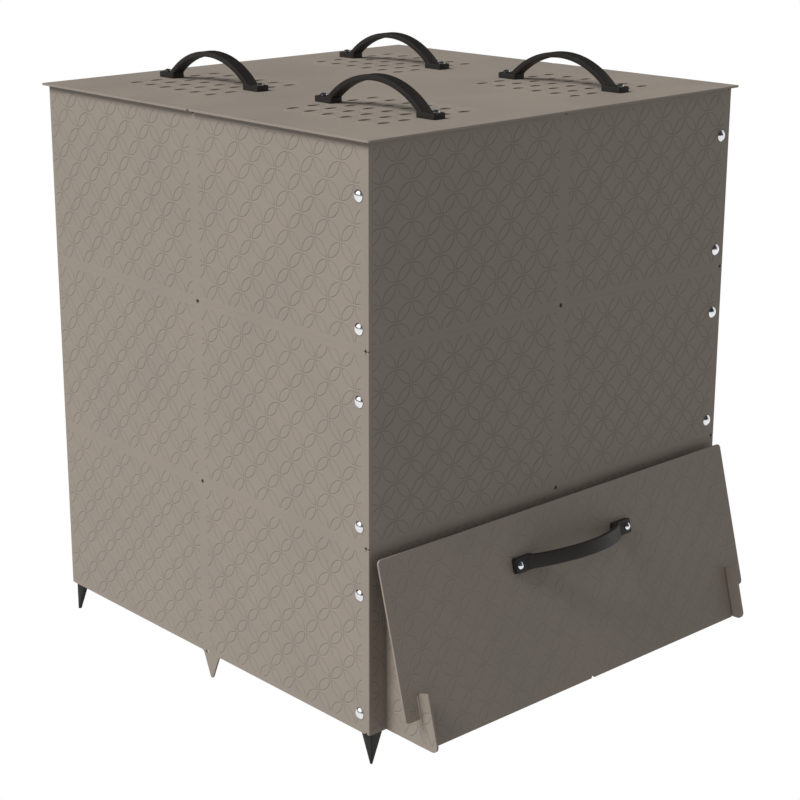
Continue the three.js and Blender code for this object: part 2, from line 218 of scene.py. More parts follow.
def grainGroup():
    # Cloudy tone, small flecks and a fine moulded grain, for every plastic and paint here.
    tree = bpy.data.node_groups.new("mouldedGrain", "ShaderNodeTree")
    socket(tree, "Vector", "NodeSocketVector")
    for name in ("Light Tone", "Dark Tone"):
        socket(tree, name, "NodeSocketColor")
    for name in ("Cloud Scale", "Grain Scale", "Roughness", "Roughness Spread"):
        socket(tree, name, "NodeSocketFloat")
    socket(tree, "Color", "NodeSocketColor", "OUTPUT")
    socket(tree, "Roughness", "NodeSocketFloat", "OUTPUT")
    socket(tree, "Height", "NodeSocketFloat", "OUTPUT")
    nodes, links = tree.nodes, tree.links
    inside = nodes.new("NodeGroupInput")
    outside = nodes.new("NodeGroupOutput")

    clouds = nodes.new("ShaderNodeTexNoise")
    clouds.inputs["Detail"].default_value = 4.0
    links.new(inside.outputs["Vector"], clouds.inputs["Vector"])
    links.new(inside.outputs["Cloud Scale"], clouds.inputs["Scale"])

    grain = nodes.new("ShaderNodeTexNoise")
    grain.inputs["Detail"].default_value = 2.0
    grain.inputs["Roughness"].default_value = 0.6
    links.new(inside.outputs["Vector"], grain.inputs["Vector"])
    links.new(inside.outputs["Grain Scale"], grain.inputs["Scale"])

    tone = rangeNode(tree, clouds.outputs["Fac"], low=0.3, high=0.7)
    fleckShare = 0.35
    fleck = mathNode(tree, "MULTIPLY_ADD", grain.outputs["Fac"], fleckShare, tone)
    mix = nodes.new("ShaderNodeMix")
    mix.data_type = "RGBA"
    links.new(fleck, mix.inputs["Factor"])
    links.new(inside.outputs["Dark Tone"], mix.inputs["A"])
    links.new(inside.outputs["Light Tone"], mix.inputs["B"])
    links.new(mix.outputs["Result"], outside.inputs["Color"])

    rough = mathNode(tree, "MULTIPLY_ADD", tone, inside.outputs["Roughness Spread"],
                     inside.outputs["Roughness"])
    links.new(rough, outside.inputs["Roughness"])
    links.new(grain.outputs["Fac"], outside.inputs["Height"])
    return tree


def grainedMaterial(name, settings, group):
    # A Principled surface that takes its tone, gloss and bump from the grain group.
    material = bpy.data.materials.new(name)
    material.use_nodes = True
    nodes, links = material.node_tree.nodes, material.node_tree.links
    shader = nodes["Principled BSDF"]
    shader.inputs["Metallic"].default_value = settings["metallic"]
    shader.inputs["Specular IOR Level"].default_value = settings["specular"]
    coordinates = nodes.new("ShaderNodeTexCoord")
    surface = nodes.new("ShaderNodeGroup")
    surface.node_tree = group
    surface.inputs["Light Tone"].default_value = (*settings["lightTone"], 1)
    surface.inputs["Dark Tone"].default_value = (*settings["darkTone"], 1)
    for name, key in (("Cloud Scale", "cloudScale"), ("Grain Scale", "grainScale"),
                      ("Roughness", "roughness"), ("Roughness Spread", "roughnessSpread")):
        surface.inputs[name].default_value = settings[key]
    links.new(coordinates.outputs["Object"], surface.inputs["Vector"])
    links.new(surface.outputs["Color"], shader.inputs["Base Color"])
    links.new(surface.outputs["Roughness"], shader.inputs["Roughness"])
    bump = nodes.new("ShaderNodeBump")
    bump.inputs["Strength"].default_value = settings["bumpStrength"]
    bump.inputs["Distance"].default_value = settings["bumpDistance"]
    links.new(surface.outputs["Height"], bump.inputs["Height"])
    links.new(bump.outputs["Normal"], shader.inputs["Normal"])
    return material


def paintGrooveShade(material, share):
    # Painted shade in the grooves: darkens the tone where the pressed attribute of a mesh says how deep the
    # emboss goes, by up to the share.
    nodes, links = material.node_tree.nodes, material.node_tree.links
    pressedShade = nodes.new("ShaderNodeAttribute")
    pressedShade.attribute_name = "pressedShade"
    shade = nodes.new("ShaderNodeMix")
    shade.data_type = "RGBA"
    shade.blend_type = "MULTIPLY"
    shade.inputs["B"].default_value = (*[1 - share] * 3, 1)
    tone = nodes["Principled BSDF"].inputs["Base Color"]
    links.new(tone.links[0].from_socket, shade.inputs["A"])
    links.new(pressedShade.outputs["Fac"], shade.inputs["Factor"])
    links.new(shade.outputs["Result"], tone)


print("materials")
grain = grainGroup()
taupeSheet = grainedMaterial("taupeSheet", {
    "lightTone": (0.285, 0.245, 0.208),
    "darkTone": (0.262, 0.226, 0.192),
    "metallic": 0.0, "specular": 0.35, "roughness": 0.52, "roughnessSpread": 0.08,
    "cloudScale": 9.0, "grainScale": 1100.0, "bumpStrength": 0.25, "bumpDistance": 0.0002,
}, grain)
# Painted shade: the deepest part of a groove keeps a fifth less of the sheet's tone.
paintGrooveShade(taupeSheet, share=0.2)
blackPlastic = grainedMaterial("blackPlastic", {
    "lightTone": (0.0195, 0.0177, 0.0158),
    "darkTone": (0.0135, 0.0122, 0.0108),
    "metallic": 0.0, "specular": 0.35, "roughness": 0.46, "roughnessSpread": 0.12,
    "cloudScale": 30.0, "grainScale": 900.0, "bumpStrength": 0.5, "bumpDistance": 0.0003,
}, grain)
blackPaint = grainedMaterial("blackPaint", {
    "lightTone": (0.015, 0.0145, 0.0135),
    "darkTone": (0.01, 0.0097, 0.009),
    "metallic": 0.0, "specular": 0.2, "roughness": 0.5, "roughnessSpread": 0.1,
    "cloudScale": 20.0, "grainScale": 500.0, "bumpStrength": 0.3, "bumpDistance": 0.0002,
}, grain)
brightSteel = grainedMaterial("brightSteel", {
    "lightTone": (0.82, 0.83, 0.84),
    "darkTone": (0.66, 0.67, 0.69),
    "metallic": 1.0, "specular": 0.5, "roughness": 0.16, "roughnessSpread": 0.1,
    "cloudScale": 120.0, "grainScale": 1500.0, "bumpStrength": 0.15, "bumpDistance": 0.0001,
}, grain)


def aroundMiddle(turns, height=0.0):
    # Turns by quarters about the upright, then goes to the middle of the bin.
    return Matrix.Translation((0, centreY, height)) @ Matrix.Rotation(turns * quarterTurn, 4, "Z")


def addPiece(name, shape, place, material, body, node, smoothBelow=None):
    # A copy of a shape in its place, as a piece that rides on its body and stands for its solid. It is shaded
    # smooth across edges that turn by less than the angle smoothBelow.
    mesh = shape.copy()
    mesh.transform(place)
    mesh.name = name
    mesh.materials.clear()
    mesh.materials.append(material)
    if smoothBelow is not None:
        mesh.polygons.foreach_set("use_smooth", [True] * len(mesh.polygons))
        mesh.set_sharp_from_angle(angle=math.radians(smoothBelow))
    piece = newObject(name, mesh)
    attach(piece, body)
    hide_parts(node)


# The embossed lattice: circles that each run through the middles of their neighbours. Between the
# crossings it is pressed in as leaves, each one a closed groove that stops short of its neighbours.
emboss = {
    "circleRadius": 26 * mm,
    "leafLength": 32.6 * mm,
    "leafWidth": 13.4 * mm,
    "arcSteps": 9,
    "grooveWidth": 2.5 * mm,
    "grooveDepth": 0.45 * mm,
    "tipStretch": 1.43,
    "holeClearance": 5.6 * mm,
}
leafPitch = emboss["circleRadius"] * root2


def lens(length, width, steps):
    # The points of a lens between two arcs, along x, counter-clockwise.
    reach, rise = length / 2, width / 2
    radius = (reach ** 2 + rise ** 2) / (2 * rise)
    spread = math.asin(reach / radius)
    lower = [(radius * math.sin(a), radius - rise - radius * math.cos(a))
             for a in [spread * (2 * i / steps - 1) for i in range(steps)]]
    return [*lower, *[(-x, -y) for x, y in lower]]


def ringAt(bm, points, z=0.0):
    # A closed ring of edges through points of one height.
    verts = [bm.verts.new((x, y, z)) for x, y in points]
    return [bm.edges.new(pair) for pair in zip(verts, [*verts[1:], verts[0]])]


def leafGroove():
    # The groove around one leaf, along x, open at z = 0 to both sides.
    bm = bmesh.new()
    rings = []
    for aside, depth in ((0.5, 0), (0, emboss["grooveDepth"]), (-0.5, 0)):
        offset = aside * emboss["grooveWidth"]
        outline = lens(emboss["leafLength"] + 2 * offset * emboss["tipStretch"],
                       emboss["leafWidth"] + 2 * offset, emboss["arcSteps"])
        rings.append(ringAt(bm, outline, -depth))
    bmesh.ops.bridge_loops(bm, edges=rings[0] + rings[1])
    bmesh.ops.bridge_loops(bm, edges=rings[1] + rings[2])
    return meshFrom(bm, "leafGroove")


leaf = leafGroove()


def nearFaces(bm, x, y, reach):
    # The faces near a place, with their edges and vertices.
    faces = [face for face in bm.faces if (face.calc_center_median().xy - Vector((x, y))).length < reach]
    edges = {edge for face in faces for edge in face.edges}
    verts = {vert for face in faces for vert in face.verts}
    return [*faces, *edges, *verts]


def clearSquare(bm, x, y, half):
    # Drops what lies in a small square, where a bolt or a screw goes through.
    reach = 8 * half
    for normal in ((1, 0, 0), (-1, 0, 0), (0, 1, 0), (0, -1, 0)):
        point = Vector((x, y, 0)) + half * Vector(normal)
        bmesh.ops.bisect_plane(bm, geom=nearFaces(bm, x, y, reach), dist=planeTolerance, plane_co=point,
                               plane_no=normal)
    inside = [face for face in bm.faces
              if max(abs(face.calc_center_median().x - x), abs(face.calc_center_median().y - y)) < half]
    bmesh.ops.delete(bm, geom=inside, context="FACES")


def embossedField(x0, x1, y0, y1, parts=((),), holes=(), tone=1.0):
    # A rectangle of the lattice with a circle in its middle. Each part is a list of x, y and the normal of
    # a line, and loses what lies beyond them. The tone says how strongly the painted shade darkens the
    # grooves.
    lattice = bmesh.new()
    middle = Vector(((x0 + x1) / 2, (y0 + y1) / 2, 0))
    radius = emboss["circleRadius"]
    across, up = math.ceil((x1 - x0) / radius / 2) + 1, math.ceil((y1 - y0) / radius / 2) + 1
    for i in range(-across, across + 1):
        for j in range(-up, up + 1):
            if (i + j) % 2:
                continue
            for sign in (-1, 1):
                spot = middle + radius * Vector((i + 0.5, j + 0.5 * sign, 0))
                if x0 - radius < spot.x < x1 + radius and y0 - radius < spot.y < y1 + radius:
                    turned = Matrix.Rotation(-sign * quarterTurn / 2, 4, "Z")
                    addMesh(lattice, leaf, Matrix.Translation(spot) @ turned)
    for x, y, alongX, alongY in [(x0, y0, -1, 0), (x1, y1, 1, 0), (x0, y0, 0, -1), (x1, y1, 0, 1)]:
        cutPlane(lattice, (x, y, 0), (alongX, alongY, 0))
    whole = meshFrom(lattice, "lattice")
    bm = bmesh.new()
    for lines in parts:
        part = bmesh.new()
        part.from_mesh(whole)
        for x, y, alongX, alongY in lines:
            cutPlane(part, (x, y, 0), (alongX, alongY, 0))
        addMesh(bm, meshFrom(part, "part"))
    weld(bm)
    for x, y, radius in holes:
        clearSquare(bm, x, y, emboss["holeClearance"])
    border = [edge for edge in bm.edges
              if edge.is_boundary and any(abs(vert.co.z) > planeTolerance for vert in edge.verts)]
    skirt = bmesh.ops.extrude_edge_only(bm, edges=border)["geom"]
    bmesh.ops.scale(bm, vec=(1, 1, 0), verts=vertsOf(skirt))
    weld(bm)
    # Each vertex keeps how deep it lies, times the tone, as the mask of the painted shade in the grooves.
    pressedShade = bm.verts.layers.float.new("pressedShade")
    for vert in bm.verts:
        vert[pressedShade] = -vert.co.z / emboss["grooveDepth"] * tone
    return meshFrom(bm, "field")


def openEdges(bm, z):
    # The open rims that lie at one height.
    return [edge for edge in bm.edges
            if edge.is_boundary and all(abs(vert.co.z - z) < weldDistance for vert in edge.verts)]


def sheetPiece(corners, holes=(), extras=(), ease=0.35 * mm):
    # A closed sheet with eased edges: an outline, round holes as x, y and radius, and loose parts whose open
    # rims lie on its faces.
    bm = bmesh.new()
    # Room for the mask of the painted shade in the grooves, so that the masks of the fields merge into it.
    bm.verts.layers.float.new("pressedShade")
    face = roundedFace(bm, corners)
    raised = bmesh.ops.extrude_face_region(bm, geom=[face])["geom"]
    top = next(item for item in raised if isinstance(item, bmesh.types.BMFace))
    bmesh.ops.delete(bm, geom=[face], context="FACES_ONLY")
    bmesh.ops.translate(bm, vec=(0, 0, sheet / 2 - ease), verts=top.verts[:])
    top.normal_update()
    if top.normal.z < 0:
        top.normal_flip()
    inStep, upStep = ease * (1 - 1 / root2), ease / root2
    bmesh.ops.inset_individual(bm, faces=[top], thickness=inStep, depth=upStep)
    bmesh.ops.inset_individual(bm, faces=[top], thickness=upStep, depth=inStep)
    bmesh.ops.delete(bm, geom=[top], context="FACES_ONLY")
    bmesh.ops.mirror(bm, geom=everything(bm), matrix=Matrix.Identity(4), merge_dist=weldDistance,
                     axis="Z")
    bmesh.ops.translate(bm, vec=(0, 0, -sheet / 2), verts=bm.verts[:])
    for x, y, radius in holes:
        ring = bmesh.ops.create_circle(bm, cap_ends=False, radius=radius, segments=holeSegments,
                                       matrix=Matrix.Translation((x, y, 0)))["verts"]
        boreThrough(bm, list({edge for vert in ring for edge in vert.link_edges}))
    for extra in extras:
        addMesh(bm, extra)
    bmesh.ops.triangle_fill(bm, use_beauty=True, edges=openEdges(bm, -sheet), normal=(0, 0, -1))
    bmesh.ops.triangle_fill(bm, use_beauty=True, edges=openEdges(bm, 0), normal=(0, 0, 1))
    bmesh.ops.recalc_face_normals(bm, faces=bm.faces[:])
    return bm


def bendSheet(bm, line, side, path, upTo=1.0):
    # Bends what lies past an upright line and no higher than upTo. For each distance past the line on the
    # flat sheet, the path gives where its front and its back come to: how far past the line, and how far
    # out of the face.
    for distance, front, back in path[:-1]:
        cutPlane(bm, (line + side * distance, 0, 0), (1, 0, 0), clear=False)
    for vert in bm.verts:
        beyond = (vert.co.x - line) * side
        if beyond <= 0 or beyond > path[-1][0] + sheet or vert.co.y > upTo:
            continue
        stage = next((i for i in range(1, len(path)) if beyond <= path[i][0]), len(path) - 1)
        share = (beyond - path[stage - 1][0]) / (path[stage][0] - path[stage - 1][0])
        front = Vector(path[stage - 1][1]).lerp(Vector(path[stage][1]), share)
        back = Vector(path[stage - 1][2]).lerp(Vector(path[stage][2]), share)
        along, out = front.lerp(back, -vert.co.z / sheet)
        vert.co.x, vert.co.z = line + side * along, out


# Wall panels
wallPanel = {
    "foldRadius": 1.2 * mm,
    "foldLag": 0.35 * mm,
    "foldSteps": 5,
    "dipRadius": 1.0 * mm,
    "cornerRound": 4 * mm,
    "notchRadius": 3 * mm,
    "seamGap": 0.06 * mm,
    "edgeEase": 0.12 * mm,
    "boltInset": 19 * mm,
    "boltLow": 27 * mm,
    "boltHigh": 69.6 * mm,
    "boltHole": 3.3 * mm,
    "fieldMargin": 8.2 * mm,
    "fieldLeft": -353.3 * mm,
    "fieldFromPlainEnd": 8.7 * mm,
    "bandLeft": -10.5 * mm,
    "bandRight": 9 * mm,
}
# Places on the flat sheet, from the middle of the panel towards its flange
foldLine = flangeFace - sheet - wallPanel["foldLag"]
foldStart = binHalf - wallPanel["foldRadius"]
foldArc = quarterTurn * wallPanel["foldRadius"]
stripDepth = binHalf - plainEnd - wallPanel["seamGap"]
stripEnd = foldStart + foldArc + stripDepth - wallPanel["foldRadius"]
flangeStart = stripEnd + sheet + gap
flangeEnd = flangeStart + flangeDepth - stripDepth
flangeBolt = flangeStart + wallPanel["boltInset"] - stripDepth
boltHeights = [wallPanel["boltLow"], panelHeight - wallPanel["boltHigh"]]
boltLevels = [wallBottom + row * rowPitch + height for row in range(len(rowNames)) for height in boltHeights]


def cornerPath():
    # The fold at the corner, sharp inside, then the step behind the plain end of the next wall.
    radius, lag, steps = wallPanel["foldRadius"], wallPanel["foldLag"], wallPanel["foldSteps"]
    reach = binHalf - foldLine
    path = [(0, (0, 0), (0, -sheet))]
    for step in range(steps + 1):
        turn = quarterTurn * step / steps
        path.append((foldStart - foldLine + radius * turn,
                     (reach - radius + radius * math.sin(turn), radius * (math.cos(turn) - 1)),
                     (lag * (1 + step / steps) / 2, -sheet)))
    path.append((stripEnd - foldLine, (reach, -stripDepth), (lag, -sheet - sheet / 2)))
    path.append((flangeStart - foldLine, (flangeFace - foldLine, -stripDepth), (lag, -stripDepth)))
    path.append((flangeEnd - foldLine, (flangeFace - foldLine, -flangeDepth), (lag, -flangeDepth)))
    return path


spike = {
    "offset": 10 * mm,
    "width": 37 * mm,
    "depth": 39 * mm,
    "tipRadius": 3 * mm,
    "rootRadius": 5 * mm,
}


def notchCorners(x, y, inward):
    # A half-round notch in a level edge, met from left to right.
    return arcPoints(x, y, wallPanel["notchRadius"], inward * 2 * quarterTurn, 0)


def spikeCorners():
    # The ground spike below the lower edge, met from left to right.
    radius, root = spike["tipRadius"], spike["rootRadius"]
    slant = math.atan2(spike["width"] / 2 - radius, spike["depth"] - radius)
    left = spike["width"] / 2
    rootPoint = (-left + root * math.sin(slant), -root * math.cos(slant))
    steps = 4
    curve = []
    for step in range(steps + 1):
        share = step / steps
        rest = 1 - share
        curve.append((rest ** 2 * (-left - root) - 2 * share * rest * left + share ** 2 * rootPoint[0],
                      share ** 2 * rootPoint[1]))
    for step in range(steps):
        angle = -2 * quarterTurn + slant + (quarterTurn - slant) * step / steps
        curve.append((radius * math.cos(angle), radius - spike["depth"] + radius * math.sin(angle)))
    tip = [(0, -spike["depth"])]
    return [(x + spike["offset"], y, 0) for x, y in [*curve, *tip, *[(-x, y) for x, y in reversed(curve)]]]


def panelCorners(lowerEdge):
    # The flat outline of a panel, counter-clockwise from the foot of the flange, around what is met along
    # its lower edge. The edges dip at the fold, and the strip beside it ends in a round corner.
    dip = wallPanel["dipRadius"]
    stripRound = stripDepth - dip - gap
    ends = [(flangeEnd, 0, 0), (flangeStart, 0, 0),
            *arcPoints(stripEnd - stripRound, stripRound, stripRound, 0, -quarterTurn, steps=6),
            *arcPoints(foldStart + foldArc / 2, 0, dip, 0, 2 * quarterTurn, steps=8)]
    lower = [(-x, y, 0) for x, y, run in ends]
    upper = [(-x, panelHeight - y, 0) for x, y, run in reversed(ends)]
    crease = reversed(notchCorners(0, panelHeight, -1))
    run = wallPanel["cornerRound"]
    corners = [*lower, *lowerEdge, (plainEnd, 0, run), (plainEnd, panelHeight, run), *crease, *upper]
    stretch = (rowPitch - panelHeight - wallPanel["seamGap"]) / 2
    level = planeTolerance
    return [(x, y - stretch if y < level else y + stretch if y > panelHeight - level else y, run)
            for x, y, run in corners]


plainBolts = [(binHalf - wallPanel["boltInset"], height, wallPanel["boltHole"]) for height in boltHeights]
flangeBolts = [(-flangeBolt, height, wallPanel["boltHole"]) for height in boltHeights]


def panelFields(parts=((),)):
    # The two fields of the lattice, with a plain band between them.
    margin = wallPanel["fieldMargin"]
    low, high = margin, panelHeight - margin
    right = plainEnd - wallPanel["fieldFromPlainEnd"]
    return [embossedField(wallPanel["fieldLeft"], wallPanel["bandLeft"], low, high, parts),
            embossedField(wallPanel["bandRight"], right, low, high, parts, plainBolts)]


def standing(turns, row):
    # Where a panel of the front wall goes in one of the four walls.
    stand = Matrix.Rotation(quarterTurn, 4, "X")
    front = Matrix.Translation((0, -binHalf, wallBottom + row * rowPitch))
    return aroundMiddle(turns) @ front @ stand


def foldedPanel(lowerEdge, holes, fields):
    # A wall panel in one go: the flat sheet, then its fold at the corner.
    bm = sheetPiece(panelCorners(lowerEdge), holes, fields, wallPanel["edgeEase"])
    bendSheet(bm, -foldLine, -1, cornerPath())
    return meshFrom(bm, "panel")


print("wall panels")
fields = panelFields()
cornerHoles = [*plainBolts, *flangeBolts]
plainPanel = foldedPanel(notchCorners(0, 0, 1), cornerHoles, fields)
spikedPanel = foldedPanel(spikeCorners(), [*cornerHoles, (0, 0, wallPanel["notchRadius"])], fields)
for turns, wallName in enumerate(wallNames):
    for row, rowName in enumerate(rowNames):
        if turns == 0 and row == 0:
            continue
        shape = spikedPanel if row == 0 else plainPanel
        node = f"{wallName}_panel_{rowName}"
        addPiece(f"{node}_embossed", shape, standing(turns, row), taupeSheet, "bin", node)


# Door and the panel that frames it
door = {
    "sideGap": 2 * mm,
    "leanDegrees": 14.8,
    "cornerRound": 6 * mm,
    "slotWidth": 11 * mm,
    "slotReach": 78 * mm,
    "stripRise": 44 * mm,
    "handleDrop": 70 * mm,
    "bandLeft": -11 * mm,
    "bandRight": 9 * mm,
    "fieldMargin": 8.2 * mm,
    # Painted shade in the grooves of the door, weaker than on the walls.
    "grooveShade": 0.3,
    "latticeClear": 2 * mm,
}
doorFrame = {
    "railHeight": 28.6 * mm,
    "flapInset": 31.5 * mm,
    "noseRadius": 10 * mm,
    "fingerReach": 18.2 * mm,
    "flapLongest": 150 * mm,
    "latticeClear": 1.2 * mm,
}
doorLow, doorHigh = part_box("door")
lean = math.radians(door["leanDegrees"])
doorHeight = (doorHigh.z - doorLow.z - sheet * math.sin(lean)) / math.cos(lean)
doorTop = doorHigh.z - wallBottom
doorTopOut = centreY - binHalf - doorHigh.y + sheet * math.cos(lean)
slotTop = doorHeight - door["slotReach"]
openingHeight = panelHeight - doorFrame["railHeight"]
flapFace = binHalf - doorFrame["flapInset"]


def doorPoint(down, out):
    # Distance out from the wall and height of a place down the door from its top edge, out of its face.
    return (doorTopOut + down * math.sin(lean) + out * math.cos(lean),
            doorTop - down * math.cos(lean) + out * math.sin(lean))


def outAt(height, out):
    # How far out of the wall a plane beside the door's face stands at a height.
    x, z = doorPoint(0, out)
    return x + (z - height) * math.tan(lean)


def flapPath():
    # The fold of a flap, sharp in front.
    radius, lag, steps = wallPanel["foldRadius"], wallPanel["foldLag"], wallPanel["foldSteps"]
    flat = lag + sheet - radius
    path = [(0, (0, 0), (0, -sheet))]
    for step in range(steps + 1):
        turn = quarterTurn * step / steps
        path.append((flat + radius * turn, (lag * (1 + step / steps) / 2, 0),
                     (flat + radius * math.sin(turn), radius * (1 - math.cos(turn)) - sheet)))
    path.append((flat + foldArc + 2 * sheet - radius, (lag, sheet), (lag + sheet, sheet)))
    longest = doorFrame["flapLongest"]
    path.append((path[-1][0] + longest, (lag, sheet + longest), (lag + sheet, sheet + longest)))
    return path


def across(out):
    # Where a place on the right flap lies on the flat sheet, from how far out of the wall it stands.
    return flapFace + wallPanel["foldLag"] - flapPath()[-2][0] - (out - sheet)


behindDoor = -sheet - gap
stepOut = doorPoint(slotTop + gap, doorFrame["fingerReach"])
stepIn = doorPoint(slotTop + gap, behindDoor)
noseRun = doorFrame["noseRadius"] / math.tan((quarterTurn - lean) / 2)
flapTop = openingHeight - gap


def rightFlapEdge():
    # The edge of the right flap, from its nose up to the round hole in the corner of the opening.
    radius = wallPanel["notchRadius"]
    start = 2 * quarterTurn + math.asin((openingHeight - flapTop) / radius)
    hole = arcPoints(flapFace, openingHeight, radius, start, 6 * quarterTurn, steps=20)
    return [(across(outAt(0, doorFrame["fingerReach"])), 0, noseRun), (across(stepOut[0]), stepOut[1], 0),
            (across(stepIn[0]), stepIn[1], 0), (across(outAt(flapTop, behindDoor)), flapTop, 0), *hole]


def frameParts():
    # What is left of the lattice around the opening: the rail, the two sides with their flaps, and the
    # fingers in front of the door.
    clear = doorFrame["latticeClear"]
    side = flapFace + wallPanel["notchRadius"] + clear
    parts = []
    for sign in (-1, 1):
        alongDoor = (-sign * math.cos(lean), math.sin(lean))
        backLine = (sign * (across(outAt(0, behindDoor)) + clear), 0, *alongDoor)
        frontLine = (sign * (across(outAt(0, doorFrame["fingerReach"])) + clear), 0, *alongDoor)
        stepLine = (sign * across(stepIn[0]), stepIn[1] - clear, -sign * math.sin(lean), math.cos(lean))
        parts.append([(sign * side, 0, -sign, 0)])
        parts.append([(sign * across(sheet + clear), 0, sign, 0),
                      (0, openingHeight - 2 * wallPanel["notchRadius"], 0, 1), backLine])
        parts.append([(backLine[0], 0, -backLine[2], -backLine[3]), stepLine, frontLine])
        parts.append([(sign * side, 0, sign, 0), (0, openingHeight + 2 * wallPanel["notchRadius"], 0, -1),
                      (0, 0, -sign, 0)])
    return parts


def doorFramePanel():
    edge = rightFlapEdge()
    opening = [*[(-x, y, run) for x, y, run in edge], *reversed(edge)]
    bm = sheetPiece(panelCorners(opening), cornerHoles, panelFields(frameParts()), wallPanel["edgeEase"])
    for side in (-1, 1):
        bendSheet(bm, side * (flapFace + wallPanel["foldLag"]), -side, flapPath(), upTo=flapTop + gap / 2)
    bendSheet(bm, -foldLine, -1, cornerPath())
    return meshFrom(bm, "doorFrame")


def doorSheet():
    # The door lies flat with its top edge at y = 0. A slot on either side leaves a short strip beside it.
    side = binHalf - door["sideGap"]
    run = door["cornerRound"]
    slotInner = flapFace - sheet / 2 - door["slotWidth"] / 2
    slotOuter = slotInner + door["slotWidth"]
    slotRound = door["slotWidth"] / 2
    stripEnd = door["stripRise"] - doorHeight
    arch = arcPoints(slotInner + slotRound, -slotTop - slotRound, slotRound, 2 * quarterTurn, 0, steps=12)
    right = [(slotInner, -doorHeight, 0), *arch, (slotOuter, stripEnd, run / 2), (side, stripEnd, run),
             (side, 0, run)]
    corners = [*notchCorners(0, -doorHeight, 1), *right, *[(-x, y, r) for x, y, r in reversed(right)]]
    holes = [(x, -door["handleDrop"], handle["hole"]) for x in (-screwReach, screwReach)]
    margin, clear = door["fieldMargin"], door["latticeClear"]
    sheets = []
    for sign, edge in ((-1, door["bandLeft"]), (1, door["bandRight"])):
        parts = [[(sign * (slotOuter + clear), 0, -sign, 0), (0, stripEnd + 2 * clear, 0, -1)],
                 [(sign * (slotOuter + clear), 0, sign, 0), (sign * (slotInner - clear), 0, -sign, 0),
                  (0, clear - slotTop, 0, -1)],
                 [(sign * (slotInner - clear), 0, sign, 0)]]
        ends = sorted((edge, sign * (side - margin)))
        sheets.append(embossedField(*ends, margin - doorHeight, -margin, parts,
                                    [hole for hole in holes if hole[0] * sign > 0], door["grooveShade"]))
    return meshFrom(sheetPiece(corners, holes, sheets), "doorSheet")


# Handles
handleLow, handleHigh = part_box("lid_front_left_handle")
handle = {
    "length": handleHigh.y - handleLow.y,
    "rise": handleHigh.z - handleLow.z,
    "bowInset": 20.6 * mm,
    "strapThickness": 8 * mm,
    "strapWidth": 20 * mm,
    "strapRound": 1.4 * mm,
    "footLength": 36 * mm,
    "footWidth": handleHigh.x - handleLow.x,
    "footHeight": 8 * mm,
    "footRound": 1.2 * mm,
    "footCorner": 3 * mm,
    "bowSteps": 36,
    "screwInset": 8 * mm,
    "hole": 2.8 * mm,
}
screwReach = handle["length"] / 2 - handle["screwInset"]


def handleMesh():
    # A bow of flat strap between two feet, along x on z = 0.
    end = handle["length"] / 2
    bowReach = end - handle["bowInset"]
    bowHeight = handle["rise"] - handle["footHeight"] / 2
    radius = (bowReach ** 2 + bowHeight ** 2) / (2 * bowHeight)
    centre = Vector((0, 0, handle["rise"] - radius))
    halfAngle = math.asin(bowReach / radius)
    bow = bmesh.new()
    slab = 1 * mm
    addBox(bow, (0, 0, handle["rise"] - handle["strapThickness"] / 2),
           (slab, handle["strapWidth"], handle["strapThickness"]))
    roundEdges(bow, edgesAlong(bow, 0), handle["strapRound"], segments=4)
    section = [face for face in bow.faces if face.normal.x > 0.9]
    bmesh.ops.delete(bow, geom=[face for face in bow.faces if face not in section], context="FACES")
    bmesh.ops.scale(bow, vec=(0, 1, 1), verts=bow.verts[:])
    bmesh.ops.rotate(bow, cent=centre, matrix=Matrix.Rotation(-halfAngle, 3, "Y"), verts=bow.verts[:])
    bmesh.ops.spin(bow, geom=everything(bow), cent=centre, axis=(0, 1, 0), angle=2 * halfAngle,
                   steps=handle["bowSteps"], use_merge=False, use_duplicate=False)
    bowLow = handle["footHeight"] / 8
    cutPlane(bow, (0, 0, bowLow), (0, 0, -1))
    bmesh.ops.holes_fill(bow, edges=[edge for edge in bow.edges if edge.is_boundary], sides=0)
    bmesh.ops.recalc_face_normals(bow, faces=bow.faces[:])
    bowMesh = meshFrom(bow, "bow")
    feet = []
    for sign in (-1, 1):
        foot = bmesh.new()
        halfHeight = handle["footHeight"] / 2
        addBox(foot, (sign * (end - handle["footLength"] / 2), 0, halfHeight),
               (handle["footLength"], handle["footWidth"], handle["footHeight"]))
        roundEdges(foot, edgesAlong(foot, 2), handle["footCorner"], segments=5)
        upper = [edge for edge in foot.edges if all(vert.co.z > halfHeight for vert in edge.verts)]
        roundEdges(foot, upper, handle["footRound"], segments=3)
        feet.append(meshFrom(foot, "foot"))
    solid = combined(bowMesh, feet, "UNION")
    holes = [roundCutter(handle["hole"], Matrix.Translation((x, 0, handle["footHeight"])))
             for x in (-screwReach, screwReach)]
    return combined(solid, holes, "DIFFERENCE")


# Bolts and screws
fastener = {
    "rim": 0.5 * mm,
    "underRim": (0.15 * mm, 0.1 * mm),
    "chamfer": 0.5 * mm,
    "nutChamfer": 0.4 * mm,
    "domeSteps": 8,
    "turnSteps": 28,
}


